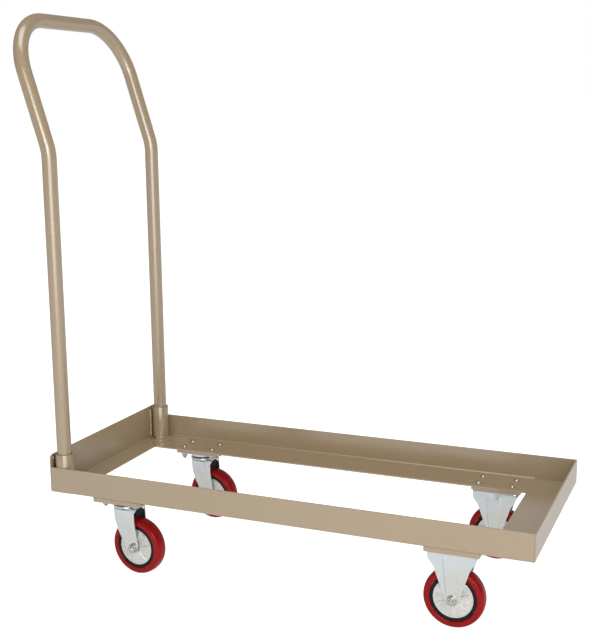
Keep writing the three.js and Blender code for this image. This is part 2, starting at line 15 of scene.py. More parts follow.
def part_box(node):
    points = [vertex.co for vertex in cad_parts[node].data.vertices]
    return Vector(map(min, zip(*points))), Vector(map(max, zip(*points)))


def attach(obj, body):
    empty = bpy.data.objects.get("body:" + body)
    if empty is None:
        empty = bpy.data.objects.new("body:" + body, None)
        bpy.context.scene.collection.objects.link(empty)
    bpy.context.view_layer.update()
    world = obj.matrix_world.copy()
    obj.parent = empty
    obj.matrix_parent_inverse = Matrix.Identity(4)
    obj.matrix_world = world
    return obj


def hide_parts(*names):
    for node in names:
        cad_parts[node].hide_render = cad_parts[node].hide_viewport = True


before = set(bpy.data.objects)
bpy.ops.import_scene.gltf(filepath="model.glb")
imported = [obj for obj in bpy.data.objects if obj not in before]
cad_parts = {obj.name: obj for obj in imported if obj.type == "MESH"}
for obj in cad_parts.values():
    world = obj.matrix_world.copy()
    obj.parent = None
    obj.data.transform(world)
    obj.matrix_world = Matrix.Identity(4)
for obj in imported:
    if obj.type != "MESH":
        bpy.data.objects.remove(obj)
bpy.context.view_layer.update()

MM = 0.001
CORNERS = ("rear_right", "rear_left", "front_right", "front_left")
SWIVEL_CORNERS, RIGID_CORNERS = CORNERS[:2], CORNERS[2:]
SIDES = (-1, 1)

# ---- dimensions in millimetres ----

SHEET = 3.0
BEND_RADIUS = 6.0
BEND_STEPS = 10
HANDLE_END_CORNER = 11.0
CORNER_STEPS = 14
PAD_CORNER = 2.2
PAD_EDGE_ROUND = 0.4
GAP = 0.3
EDGE_ROUND, ROUND_SEGMENTS = 0.45, 2
OVERCUT = 1.0  # how far a cutter passes what it cuts
ROUND_IN_BOX = 0.1  # full rounds stay inside the box of their many-sided solids

TUBE_WALL = 2.0
SOCKET_WALL = 2.8
SOCKET_LIP = 0.7
LIP_CORNER = 0.3  # share of the lip at the middle of its round
SOCKET_SEGMENTS = 72
HANDLE_BEND_HEIGHT = 921.0
HANDLE_LEAN = math.radians(17.18)
HANDLE_LEAN_LENGTH = 289.3
HANDLE_BEND_RADIUS = 120.0
HANDLE_BEND_STEPS = 14
HANDLE_CORNER_RADIUS = 119.0
HANDLE_CORNER_STEPS = 32
HANDLE_SIDES = 40

PLATE_LENGTH = 96.0
PLATE_WIDTH = 66.0
PLATE_THICKNESS = 2.5
PLATE_CORNER = 8.0
PLATE_TOP = -GAP
PLATE_BOTTOM = PLATE_TOP - PLATE_THICKNESS
RACE_BOTTOM = -9.8
CROWN_TOP = -12.9
CROWN_BOTTOM = -17.9
CROWN_SEGMENTS = 88
PIN_HOLE = 6.3  # radius
BALL_COUNT = 28
BALL_RADIUS = 1.24
BALL_CIRCLE = 24.1  # radius
LEG_OUTER = 22.0
LEG_THICKNESS = 2.5
LEG_TOP = CROWN_TOP - 6.9
LEG_COLUMNS = 30
PAINTED_SHADE_FACING, PAINTED_SHADE_LEAST_Y = 0.6, 12.0  # faces that look this much inward, from this far out, get the painted shade

BOLT_FLATS, KINGPIN_FLATS, AXLE_FLATS = 13.0, 18.0, 16.8  # across the flats of their hexagons
NUT_CHAMFER, NUT_RIM = 0.9, 0.97  # height, and the rim of a face as a share of the flats
NUT_SEGMENTS = 48

# weld beads: radius and ripple pitch
SOCKET_INNER_BEAD = (3.0, 5.2)
SOCKET_OUTER_BEAD = (1.7, 4.0)
SOCKET_FOOT_BEAD = (2.4, 6.0)
NOSE_CORNER_BEAD = (1.5, 4.0)
HANDLE_CORNER_BEAD = (1.2, 4.0)
UNDER_FLANGE_BEAD = (1.5, 3.6)
HANDLE_FLANGE_BEAD = (1.7, 5.5)
NOSE_FLANGE_BEAD = (0.9, 4.0)
PAD_END_BEAD = (1.5, 3.8)
PAD_SEAM_BEAD = (0.9, 5.0)
STITCH = 22.0  # length of a short bead at a pad's end
SOCKET_SEEDS = (3, 11)
FINE_BEAD, COARSE_BEAD = (10, 0.8), (8, 1.2)  # sides of a bead, distance between its rings
BEAD_VALLEY, BEAD_RIPPLE = 0.90, 0.14  # shares of the radius
BEAD_SWELL = (0.86, 1.14)
SWELL_RINGS = 4  # rings from one slow swell to the next
BEAD_TIP, BEAD_TIP_GROWTH = 0.45, 0.2  # share of the radius at a bead's end, and its growth per ring
SPATTER_TRIES = 44
SPATTER_RADIUS = (0.5, 1.5)
SPATTER_SEED = 5

IN_PLACE = Matrix.Identity(4)
ON_AXIS = 1e-6
BALL_BANDS = 8
ROUNDED_ANGLE, SHARP_ANGLE = 34, 38  # degrees between faces: bevelled above, shaded as an edge above
FLAT_FACE_WEIGHT = 80

# ---- colours (linear) and sockets ----

OLIVE_DEEP, OLIVE_LIGHT, OLIVE_WORN = (0.326, 0.241, 0.140), (0.346, 0.256, 0.151), (0.40, 0.30, 0.18)
ZINC_WARM, ZINC_PLAIN, ZINC_COOL = (0.62, 0.62, 0.56), (0.645, 0.68, 0.695), (0.65, 0.695, 0.72)
FASTENER_WARM, FASTENER_PLAIN = (0.46, 0.45, 0.40), (0.56, 0.57, 0.55)
# painted shade: near-black for the leg faces that look at the wheel and the block beside each socket
PAINTED_SHADE_DARK, PAINTED_SHADE_LIGHT = (0.010, 0.008, 0.009), (0.030, 0.026, 0.028)
CRIMSON_DEEP, CRIMSON_LIGHT = (0.245, 0.0045, 0.0055), (0.300, 0.0070, 0.0080)
BLACK_DEEP, BLACK_LIGHT = (0.0075, 0.0075, 0.009), (0.014, 0.014, 0.016)
SILVER_DARK, SILVER_PLAIN, SILVER_LIGHT = (0.36, 0.35, 0.33), (0.59, 0.58, 0.55), (0.67, 0.665, 0.645)
RACE_DARK, RACE_LIGHT = (0.030, 0.036, 0.040), (0.095, 0.105, 0.112)
NOISE_LOW, NOISE_HIGH = 0.3, 0.7  # where most values of a noise field lie
MIX_A, MIX_B, MIX_RESULT = 6, 7, 2  # the Mix node's colour sockets

# ---- lamps and camera ----

WHITE = (1, 1, 1, 1)
FLOOR_SOCKETS = {
    "Base Color": (0.52, 0.52, 0.52, 1), "Roughness": 0.9, "Specular IOR Level": 0.0, "Emission Color": WHITE}
FLOOR_RADIUS, FLOOR_SEGMENTS = 60.0, 96
FLOOR_GLOW, WORLD_GLOW = (0.46, 0.95), (0.29, 1.0)  # on the object, and where the camera looks
LAMPS = (  # name, place, target, width, height, power
    ("key", (1.7, -3.4, 1.1), (0, 0, 0.25), 3.2, 2.8, 78.0),
    ("overhead", (0.5, -1.2, 8.0), (0, 0, 0.1), 6.0, 5.0, 270.0),
    ("core", (1.2, -3.4, 1.6), (0, 0, 0.25), 0.8, 1.1, 20.0),
    ("back_sweep", (1.6, 4.4, 1.3), (0, 0, 0.5), 6.0, 2.4, 14.0))
CAMERA_PLACE = (0.9195, -2.1721, 1.0097)
CAMERA_TURNS = (23.04, 10.93, -0.59)  # yaw, pitch down and roll in degrees
CAMERA_LENS, CAMERA_SENSOR = 62.31, 36.0
CAMERA_CLIP = (0.05, 200.0)


# ---- small mesh kit ----

def smoothstep(low, high, value):
    t = min(1.0, max(0.0, (value - low) / (high - low)))
    return t * t * (3 - 2 * t)


def lerp(a, b, t):
    return a + (b - a) * t


def table_value(table, key):
    """Piecewise straight value from (key, value) pairs in rising order of key."""
    for (k0, v0), (k1, v1) in zip(table, table[1:]):
        if key <= k1:
            return lerp(v0, v1, max(0.0, (key - k0) / (k1 - k0)))
    return table[-1][1]


def turn_angles(count):
    """Even steps of one full turn."""
    return [2 * math.pi * k / count for k in range(count)]


class Shell:
    """Points and faces gathered for one mesh."""

    def __init__(self):
        self.points = []
        self.faces = []

    def add(self, points, faces):
        base = len(self.points)
        self.points += [Vector(p) for p in points]
        self.faces += [[base + i for i in face] for face in faces]
        return self

    def join(self, other, matrix=IN_PLACE):
        return self.add([matrix @ p for p in other.points], other.faces)

    def mesh(self, name):
        mesh = bpy.data.meshes.new(name)
        mesh.from_pydata([p * MM for p in self.points], [], self.faces)
        work = bmesh.new()
        work.from_mesh(mesh)
        bmesh.ops.remove_doubles(work, verts=work.verts, dist=1e-7)
        bmesh.ops.recalc_face_normals(work, faces=work.faces)
        work.to_mesh(mesh)
        work.free()
        return mesh


def loft(rings, loop=False):
    """Skin over rings of equal length. With loop, the last ring joins the first, else the ends are closed."""
    count = len(rings[0])
    faces = []
    steps = len(rings) if loop else len(rings) - 1
    for i in range(steps):
        j = (i + 1) % len(rings)
        for k in range(count):
            m = (k + 1) % count
            faces.append([i * count + k, i * count + m, j * count + m, j * count + k])
    if not loop:
        faces.append(list(range(count))[::-1])
        faces.append([(len(rings) - 1) * count + k for k in range(count)])
    return Shell().add([p for ring in rings for p in ring], faces)


def lathe(profile, segments, axis="Z", loop=True):
    """Turned body from (radius, along) pairs. A loop profile makes a ring, else its ends lie on the axis."""
    rings = []
    points = []
    for radius, along in profile:
        turns = segments if radius > ON_AXIS else 1
        rings.append(range(len(points), len(points) + turns))
        for a in turn_angles(segments)[:turns]:
            x, y = radius * math.cos(a), radius * math.sin(a)
            points.append((x, y, along) if axis == "Z" else (x, along, y))
    faces = []
    pairs = list(zip(rings, rings[1:]))
    if loop:
        pairs.append((rings[-1], rings[0]))
    for low, high in pairs:
        for k in range(segments):
            m = (k + 1) % segments
            face = [low[k % len(low)], low[m % len(low)], high[m % len(high)], high[k % len(high)]]
            face = list(dict.fromkeys(face))
            if len(face) > 2:
                faces.append(face)
    return Shell().add(points, faces)


def spindle(profile, segments):
    """A solid turned body with flat ends on the axis."""
    return lathe([(0.0, profile[0][1]), *profile, (0.0, profile[-1][1])], segments, loop=False)


def ring_profile(inner, outer, start, end):
    return [(inner, start), (outer, start), (outer, end), (inner, end)]


def prism(outline, low, high, axis="Z"):
    """A flat outline pushed from low to high along Z or X."""
    return loft([[(*p, h) if axis == "Z" else (h, *p) for p in outline] for h in (low, high)])


def arc(cx, cy, radius, start, end, steps):
    """Points of an arc between two angles in degrees."""
    turns = [math.radians(lerp(start, end, i / steps)) for i in range(steps + 1)]
    return [(cx + radius * math.cos(t), cy + radius * math.sin(t)) for t in turns]


def rounded_rectangle(dx, dy, radius, steps):
    x, y = dx - radius, dy - radius
    corners = ((x, -y, -90), (x, y, 0), (-x, y, 90), (-x, -y, 180))
    return [point for cx, cy, start in corners for point in arc(cx, cy, radius, start, start + 90, steps)]


def frames_along(path):
    """Turning-free pairs of cross directions for each point of a path."""
    tangents = []
    for i, _ in enumerate(path):
        a, b = path[max(0, i - 1)], path[min(len(path) - 1, i + 1)]
        tangents.append((b - a).normalized())
    side = tangents[0].orthogonal().normalized()
    pairs = []
    for tangent in tangents:
        side = (side - tangent * side.dot(tangent)).normalized()
        pairs.append((side, tangent.cross(side)))
    return pairs


def rings_along(path, radii, sides):
    rings = []
    for point, (u, v), radius in zip(path, frames_along(path), radii):
        rings.append([point + (u * math.cos(t) + v * math.sin(t)) * radius for t in turn_angles(sides)])
    return rings


def tube(path, outer, inner, sides):
    """A hollow tube along a path, with flat ring ends."""
    skin = rings_along(path, [outer] * len(path), sides)
    bore = rings_along(path, [inner] * len(path), sides)
    return loft(skin + bore[::-1], loop=True)


def bead(path, size, seed, grain=FINE_BEAD):
    """A weld bead: overlapping ripples along a path, a little uneven."""
    (radius, pitch), (sides, spacing) = size, grain
    rng = random.Random(seed)
    points = []
    for a, b in zip(path, path[1:]):
        a, b = Vector(a), Vector(b)
        steps = max(1, round((b - a).length / spacing))
        points += [a.lerp(b, i / steps) for i in range(steps)]
    points.append(Vector(path[-1]))
    swell = [rng.uniform(*BEAD_SWELL) for _ in range(len(points) // SWELL_RINGS + 3)]
    radii = []
    for i in range(len(points)):
        step, part = divmod(i, SWELL_RINGS)
        ripple = BEAD_VALLEY + BEAD_RIPPLE * abs(math.sin(math.pi * (i * spacing) / pitch))
        slow = lerp(swell[step], swell[step + 1], part / SWELL_RINGS)
        end = min(i, len(points) - 1 - i)
        radii.append(radius * ripple * slow * min(1.0, BEAD_TIP + BEAD_TIP_GROWTH * end))
    return loft(rings_along(points, radii, sides))


def ball(centre, radius, segments=12, squash=1.0):
    profile = [(max(0.0, radius * math.sin(t)), -radius * squash * math.cos(t))
               for t in (math.pi * i / BALL_BANDS for i in range(BALL_BANDS + 1))]
    return Shell().join(lathe(profile, segments, loop=False), Matrix.Translation(Vector(centre)))


def slab(grid):
    """A closed plate from a grid of points on the outer face of a leg at -Y, thickened towards the wheel."""
    rows, columns = len(grid), len(grid[0])
    inward = Vector((0, 1, 0))
    outer = [Vector(p) for row in grid for p in row]
    inner = []
    for r in range(rows):
        for c in range(columns):
            left, right = Vector(grid[r][max(0, c - 1)]), Vector(grid[r][min(columns - 1, c + 1)])
            above, below = Vector(grid[max(0, r - 1)][c]), Vector(grid[min(rows - 1, r + 1)][c])
            normal = (right - left).cross(below - above).normalized()
            if normal.dot(inward) <= 0:
                normal = -normal
            inner.append(outer[r * columns + c] + normal * LEG_THICKNESS)
    shift = rows * columns
    faces = []
    for r in range(rows - 1):
        for c in range(columns - 1):
            a, b = r * columns + c, r * columns + c + 1
            d, e = a + columns, b + columns
            faces.append([a, b, e, d])
            faces.append([shift + a, shift + d, shift + e, shift + b])
    rim = list(range(columns))
    rim += [r * columns + columns - 1 for r in range(1, rows)]
    rim += [(rows - 1) * columns + c for c in range(columns - 2, -1, -1)]
    rim += [r * columns for r in range(rows - 2, 0, -1)]
    for a, b in zip(rim, rim[1:] + rim[:1]):
        faces.append([a, b, shift + b, shift + a])
    return Shell().add(outer + inner, faces)


def mirrored(shell):
    """The same shell on the other side of Y = 0."""
    return Shell().add([(p.x, -p.y, p.z) for p in shell.points], [f[::-1] for f in shell.faces])


def with_mirror(shell):
    return Shell().join(shell).join(mirrored(shell))


# ---- finishing a mesh into a piece ----

def placed(name, data):
    """A new object, linked into the scene."""
    thing = bpy.data.objects.new(name, data)
    bpy.context.collection.objects.link(thing)
    return thing


def baked(piece):
    """The piece's mesh with its modifiers applied; the piece itself is removed."""
    bpy.context.view_layer.update()
    graph = bpy.context.evaluated_depsgraph_get()
    mesh = bpy.data.meshes.new_from_object(piece.evaluated_get(graph))
    bpy.data.objects.remove(piece)
    return mesh


def carved(shell, cutters):
    """Mesh of a shell with other shells taken away."""
    piece = placed("blank", shell.mesh("blank"))
    tools = [placed("cutter", cutter.mesh("cutter")) for cutter in cutters]
    for tool in tools:
        modifier = piece.modifiers.new("cut", "BOOLEAN")
        modifier.operation = "DIFFERENCE"
        modifier.solver = "EXACT"
        modifier.object = tool
    mesh = baked(piece)
    for tool in tools:
        bpy.data.objects.remove(tool)
    return mesh


def rounded(mesh, width=EDGE_ROUND, angle=ROUNDED_ANGLE):
    """The mesh with its sharp edges rounded."""
    piece = placed("blank", mesh)
    modifier = piece.modifiers.new("round", "BEVEL")
    modifier.width = width * MM
    modifier.segments = ROUND_SEGMENTS
    modifier.limit_method = "ANGLE"
    modifier.angle_limit = math.radians(angle)
    modifier.miter_outer = "MITER_ARC"
    return baked(piece)


def joined_mesh(name, meshes):
    """Several meshes as one."""
    work = bmesh.new()
    for mesh in meshes:
        work.from_mesh(mesh)
    mesh = bpy.data.meshes.new(name)
    work.to_mesh(mesh)
    work.free()
    return mesh


def finish_piece(name, mesh, materials, body, node=None, matrix=IN_PLACE, weighted=False):
    """Links a mesh as a piece that rides on a body. One that stands for a CAD node has its name in front."""
    mesh.shade_smooth()
    if not weighted:
        mesh.set_sharp_from_angle(angle=math.radians(SHARP_ANGLE))
    piece = placed(f"{node}_{name}" if node else name, mesh)
    for material in materials:
        mesh.materials.append(material)
    piece.matrix_world = matrix
    if weighted:
        modifier = piece.modifiers.new("flat_faces", "WEIGHTED_NORMAL")
        modifier.weight = FLAT_FACE_WEIGHT
    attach(piece, body)
    if node:
        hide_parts(node)


def painted(name, mesh, node=None, matrix=IN_PLACE, weighted=False):
    """A painted piece of the frame."""
    finish_piece(name, mesh, [PAINT], "frame", node, matrix, weighted)


# ---- materials ----

def set_sockets(node, values):
    for socket, value in values.items():
        node.inputs[socket.replace("_", " ")].default_value = value


def new_node(tree, kind, **values):
    node = tree.nodes.new(f"ShaderNode{kind}")
    set_sockets(node, values)
    return node


class Surface:
    """A node material with noise fields measured in the piece's own metres."""

    def __init__(self, name, **sockets):
        self.material = bpy.data.materials.new(name)
        self.material.use_nodes = True
        self.tree = self.material.node_tree
        self.shader = self.tree.nodes["Principled BSDF"]
        set_sockets(self.shader, sockets)
        self.coordinates = new_node(self.tree, "TexCoord").outputs["Object"]

    def link(self, output, target):
        self.tree.links.new(output, target)

    def feed(self, socket, output):
        self.link(output, self.shader.inputs[socket])

    def noise(self, scale, detail, stretch=None, roughness=0.5):
        node = new_node(self.tree, "TexNoise", Scale=scale, Detail=detail, Roughness=roughness)
        source = self.coordinates
        if stretch:
            mapping = new_node(self.tree, "Mapping", Scale=stretch)
            self.link(source, mapping.inputs["Vector"])
            source = mapping.outputs["Vector"]
        self.link(source, node.inputs["Vector"])
        return node.outputs["Fac"]

    def ramp(self, source, *stops):
        """Colour from (place, colour) stops along a noise field."""
        node = new_node(self.tree, "ValToRGB")
        elements = node.color_ramp.elements
        for element, (place, colour) in zip(elements, (stops[0], stops[-1])):
            element.position = place
            element.color = (*colour, 1)
        for place, colour in stops[1:-1]:
            elements.new(place).color = (*colour, 1)
        self.link(source, node.inputs["Fac"])
        return node.outputs["Color"]

    def spread(self, source, low, high, start=NOISE_LOW, end=NOISE_HIGH):
        """A noise field's usual range mapped to low and high."""
        node = new_node(self.tree, "MapRange", From_Min=start, From_Max=end, To_Min=low, To_Max=high)
        self.link(source, node.inputs["Value"])
        return node.outputs["Result"]

    def mix(self, factor, source, colour):
        """A linked colour with some of a fixed one laid over it."""
        node = new_node(self.tree, "Mix")
        node.data_type = "RGBA"
        self.link(factor, node.inputs["Factor"])
        self.link(source, node.inputs[MIX_A])
        node.inputs[MIX_B].default_value = (*colour, 1)
        return node.outputs[MIX_RESULT]

    def bump(self, source, depth_mm, strength):
        node = new_node(self.tree, "Bump", Strength=strength, Distance=depth_mm * MM)
        self.link(source, node.inputs["Height"])
        self.feed("Normal", node.outputs["Normal"])


def painted_steel():
    """Glossy olive-taupe enamel: a slow drift of shade and a fine mottle of paler, thinner paint."""
    s = Surface("painted_steel", Metallic=0.0, IOR=2.05)
    drift = s.noise(2.6, 2.0)
    mottle = s.noise(38.0, 3.0)
    shade = s.ramp(drift, (0.25, OLIVE_DEEP), (0.75, OLIVE_LIGHT))
    worn = s.spread(mottle, 0.0, 0.08, 0.35, 0.75)
    s.feed("Base Color", s.mix(worn, shade, OLIVE_WORN))
    s.feed("Roughness", s.spread(s.noise(5.0, 2.0), 0.20, 0.24))
    return s.material


def noise_material(name, colour_noise, stops, roughness_noise, roughness, relief=None, **sockets):
    """Colour and roughness from two noise fields (scale, detail); relief is (scale, detail, mm, strength)."""
    s = Surface(name, **sockets)
    s.feed("Base Color", s.ramp(s.noise(*colour_noise), *stops))
    s.feed("Roughness", s.spread(s.noise(*roughness_noise), *roughness))
    if relief:
        scale, detail, depth, strength = relief
        s.bump(s.noise(scale, detail), depth, strength)
    return s.material


PAINT = painted_steel()
# bright zinc over stamped steel, from a faintly warm to a cool white
ZINC = noise_material("zinc_plated_steel", (14.0, 1.0),
                      [(0.30, ZINC_WARM), (0.50, ZINC_PLAIN), (0.72, ZINC_COOL)],
                      (30.0, 1.0), (0.17, 0.22), Metallic=0.7, IOR=1.6)
# smooth zinc of the bolts, nuts and washers, all mirror and little white
FASTENER = noise_material("zinc_fastener", (60.0, 2.0), [(0.3, FASTENER_WARM), (0.7, FASTENER_PLAIN)],
                          (200.0, 1.0), (0.24, 0.32), Metallic=1.0)
# painted shade: near-black for the inner faces of the swivel legs, and for the block in the gap beside each
# socket
PAINTED_SHADE = noise_material("zinc_painted_shade", (40.0, 4.0), [(0.3, PAINTED_SHADE_DARK), (0.7, PAINTED_SHADE_LIGHT)],
                       (140.0, 3.0), (0.45, 0.62), (700.0, 2.0, 0.02, 0.4), Metallic=0.25, IOR=1.45)
# cast crimson tread: glossy, slightly clouded
RED = noise_material("polyurethane_tyre", (22.0, 3.0), [(0.3, CRIMSON_DEEP), (0.7, CRIMSON_LIGHT)],
                     (60.0, 2.0), (0.06, 0.09), (90.0, 0.0, 0.015, 0.10), Metallic=0.0, IOR=1.24)
# moulded black wheel centre
BLACK = noise_material("black_core", (60.0, 3.0), [(0.3, BLACK_DEEP), (0.7, BLACK_LIGHT)],
                       (180.0, 3.0), (0.36, 0.52), (1100.0, 2.0, 0.02, 0.35), Metallic=0.0, IOR=1.22)
# silver-grey moulded cover with faint flow streaks
COVER = noise_material("hub_cover", (70.0, 5.0, (1.0, 0.3, 1.0), 0.65),
                       [(0.25, SILVER_DARK), (0.45, SILVER_PLAIN), (0.75, SILVER_LIGHT)],
                       (150.0, 3.0), (0.24, 0.40), (520.0, 3.0, 0.05, 0.45), Metallic=0.3, IOR=1.5)
# dark oiled steel of the ball race
BEARING = noise_material("bearing_steel", (90.0, 3.0), [(0.3, RACE_DARK), (0.7, RACE_LIGHT)],
                         (200.0, 3.0), (0.22, 0.40), Metallic=0.9)


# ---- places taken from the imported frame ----

def box_mm(node):
    low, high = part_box(node)
    return low / MM, high / MM


def span_mm(node):
    """Lowest and highest corner and the middle."""
    low, high = box_mm(node)
    return low, high, (low + high) / 2


def centre_mm(node):
    return span_mm(node)[2]


def pad_base(corner):
    """Height of a pad's underside, where its caster hangs from."""
    return box_mm(f"caster_pad_{corner}")[0].z


def socket_places():
    """Name, lowest and highest corner, middle, radius and side of each socket."""
    for name in ("socket_right", "socket_left"):
        low, high, middle = span_mm(name)
        yield name, low, high, middle, (high.x - low.x) / 2, 1 if middle.y > 0 else -1


def moved(place):
    """The matrix that carries a shape from the origin to a place in millimetres."""
    return Matrix.Translation(Vector(place) * MM)


SIDE_LOW, SIDE_HIGH = box_mm("side_rail_right")
TALL_LOW, TALL_HIGH = box_mm("handle_end_rail")
NOSE_LOW, NOSE_HIGH = box_mm("nose_end_rail")
UNDERSIDE = SIDE_LOW.z
FLANGE_TOP = UNDERSIDE + SHEET
HALF_WIDTH = TALL_HIGH.y
INSIDE = HALF_WIDTH - SHEET
WALL_FACE = TALL_LOW.x + SHEET
SIDE_FLANGE = SIDE_HIGH.y - SIDE_LOW.y


def section(wall, flange):
    """Bent sheet: the wall stands at 0 and the flange runs along +u, both from height 0."""
    points = [(flange, 0), (flange, SHEET)]
    points += arc(BEND_RADIUS, BEND_RADIUS, BEND_RADIUS - SHEET, 270, 180, BEND_STEPS)
    points += [(SHEET, wall), (0, wall)]
    points += arc(BEND_RADIUS, BEND_RADIUS, BEND_RADIUS, 180, 270, BEND_STEPS)
    return points


def cut_block(xs, ys):
    """A cutter through the height of the flange and the bend."""
    (x0, x1), (y0, y1) = sorted(xs), sorted(ys)
    outline = [(x0, y0), (x1, y0), (x1, y1), (x0, y1)]
    return prism(outline, UNDERSIDE - OVERCUT, UNDERSIDE + BEND_RADIUS + OVERCUT)


def corner_cut(side):
    """What is taken off a top corner of the handle-end rail to round it."""
    y, z = HALF_WIDTH - HANDLE_END_CORNER, TALL_HIGH.z - HANDLE_END_CORNER
    past_y, past_z = HALF_WIDTH + OVERCUT, TALL_HIGH.z + OVERCUT
    outline = arc(y, z, HANDLE_END_CORNER, 90, 0, CORNER_STEPS) + [(past_y, z), (past_y, past_z), (y, past_z)]
    return prism([(side * a, b) for a, b in outline], TALL_LOW.x - OVERCUT, WALL_FACE + OVERCUT, axis="X")


def build_rail(node, profile, start, end, place, cutters):
    """A bent section pushed from start to end; place(u, z, s) puts a point of it in the frame."""
    rail = loft([[place(u, UNDERSIDE + h, s) for u, h in profile] for s in (start, end)])
    painted("sheet", rounded(carved(rail, cutters)), node, weighted=True)


def build_side_rails():
    """The side rails, notched at both ends, where the end rails' flanges lie."""
    profile = section(SIDE_HIGH.z - UNDERSIDE, SIDE_FLANGE)
    for node, side in (("side_rail_right", -1), ("side_rail_left", 1)):
        ys = side * INSIDE, side * (HALF_WIDTH - SIDE_FLANGE - OVERCUT)
        notches = [cut_block((SIDE_LOW.x - OVERCUT, TALL_HIGH.x + GAP), ys),
                   cut_block((NOSE_LOW.x - GAP, SIDE_HIGH.x + OVERCUT), ys)]
        build_rail(node, profile, SIDE_LOW.x, SIDE_HIGH.x,
                   lambda u, z, s: Vector((s, side * (HALF_WIDTH - u), z)), notches)


def build_end_rail(node, wall, edge, top, corners=()):
    """A rail across one end, from its wall's outer face at x = wall to its flange's edge at x = edge."""
    inward = 1 if edge > wall else -1
    xs = wall + inward * SHEET, edge + inward * OVERCUT
    cutters = [cut_block(xs, (side * (INSIDE - GAP), side * (HALF_WIDTH + OVERCUT))) for side in SIDES]
    build_rail(node, section(top - UNDERSIDE, abs(edge - wall)), -HALF_WIDTH, HALF_WIDTH,
               lambda u, z, s: Vector((wall + inward * u, s, z)), [*cutters, *corners])


def build_rails():
    build_side_rails()
    corners = [corner_cut(side) for side in SIDES]
    build_end_rail("handle_end_rail", TALL_LOW.x, TALL_HIGH.x, TALL_HIGH.z, corners)
    build_end_rail("nose_end_rail", NOSE_HIGH.x, NOSE_LOW.x, NOSE_HIGH.z)


def build_pads():
    for corner in CORNERS:
        low, high, middle = span_mm(f"caster_pad_{corner}")
        half = (high - low) / 2
        outline = [(middle.x + x, middle.y + y) for x, y in rounded_rectangle(half.x, half.y, PAD_CORNER, 4)]
        shell = prism(outline, low.z, high.z)
        painted("block", rounded(shell.mesh("pad"), PAD_EDGE_ROUND), f"caster_pad_{corner}", weighted=True)


def build_sockets():
    """Short upright tubes, rounded at the mouth and bevelled at the foot."""
    for name, low, high, axis, radius, _ in socket_places():
        bore = radius - SOCKET_WALL
        lip, corner = SOCKET_LIP, SOCKET_LIP * LIP_CORNER
        profile = [
            (bore, low.z), (radius - lip, low.z), (radius, low.z + lip), (radius, high.z - lip),
            (radius - corner, high.z - corner), (radius - lip, high.z),
            (bore + lip, high.z), (bore + corner, high.z - corner), (bore, high.z - lip)]
        shell = lathe(profile, SOCKET_SEGMENTS)
        painted("tube", shell.mesh(name), name, moved((axis.x, axis.y, 0)))


# ---- handle ----

def turn_points(start, leave, arrive, radius, steps):
    angle = leave.angle(arrive)
    inward = (arrive - leave * arrive.dot(leave)).normalized()
    turns = [angle * i / steps for i in range(steps + 1)]
    return [start + leave * (radius * math.sin(t)) + inward * (radius * (1 - math.cos(t))) for t in turns]


def build_handle():
    """One bent tube: half a path up from the right socket to the crossbar, and its mirror image."""
    low, high = box_mm("push_handle")
    axis = centre_mm("socket_right")
    up, across = Vector((0, 0, 1)), Vector((0, 1, 0))
    lean = Vector((-math.sin(HANDLE_LEAN), 0, math.cos(HANDLE_LEAN)))
    shoulder = Vector((axis.x, axis.y, HANDLE_BEND_HEIGHT))
    tangent = HANDLE_BEND_RADIUS * math.tan(HANDLE_LEAN / 2)
    half = [Vector((axis.x, axis.y, low.z))]
    half += turn_points(shoulder - up * tangent, up, lean, HANDLE_BEND_RADIUS, HANDLE_BEND_STEPS)
    corner = shoulder + lean * (HANDLE_LEAN_LENGTH - HANDLE_CORNER_RADIUS)
    half += turn_points(corner, lean, across, HANDLE_CORNER_RADIUS, HANDLE_CORNER_STEPS)
    path = half + [Vector((p.x, -p.y, p.z)) for p in reversed(half)]
    radius = high.y + axis.y - ROUND_IN_BOX
    shell = tube(path, radius, radius - TUBE_WALL, HANDLE_SIDES)
    finish_piece("tube", shell.mesh("handle"), [PAINT], "handle", "push_handle")


# ---- welds ----

def build_socket_welds():
    """Seams up both flanks of each socket where it meets the end wall, and round its foot."""
    shell = Shell()
    for (_, low, high, axis, radius, side), seed in zip(socket_places(), SOCKET_SEEDS):
        inner = axis.y - side * (radius * 0.96)
        outer = axis.y + side * (radius * 0.80)
        shell.join(bead([(WALL_FACE + 2.0, inner, low.z + 3), (WALL_FACE + 1.9, inner, high.z - 7)],
                        SOCKET_INNER_BEAD, seed))
        shell.join(bead([(WALL_FACE + 1.6, outer, high.z - 11), (WALL_FACE + 1.6, outer, high.z - 5)],
                        SOCKET_OUTER_BEAD, seed + 1))
        foot = []
        reach = radius + 0.9
        for degrees in range(-100, 101, 8):
            a = math.radians(degrees)
            foot.append((axis.x + reach * math.cos(a), axis.y - side * reach * math.sin(a) * 0.98,
                         FLANGE_TOP + 1.3))
        shell.join(bead(foot, SOCKET_FOOT_BEAD, seed + 2))
    painted("socket_welds", shell.mesh("socket_welds"))


def build_socket_shade_block():
    """A dark block of painted shade, filling the gap between each socket and the end wall."""
    shell = Shell()
    for _, _, high, axis, radius, side in socket_places():
        outline = [(axis.x - radius * math.cos(t) - 0.1, axis.y + side * radius * math.sin(t))
                   for t in (math.radians(d) for d in range(6, 45, 6))]
        outline += [(WALL_FACE + 0.1, outline[-1][1]), (WALL_FACE + 0.1, outline[0][1])]
        shell.join(prism(outline, FLANGE_TOP + 4, high.z - 3.5))
    # the block carries the near-black painted shade
    finish_piece("socket_shade_block", shell.mesh("socket_shade_block"), [PAINTED_SHADE], "frame")


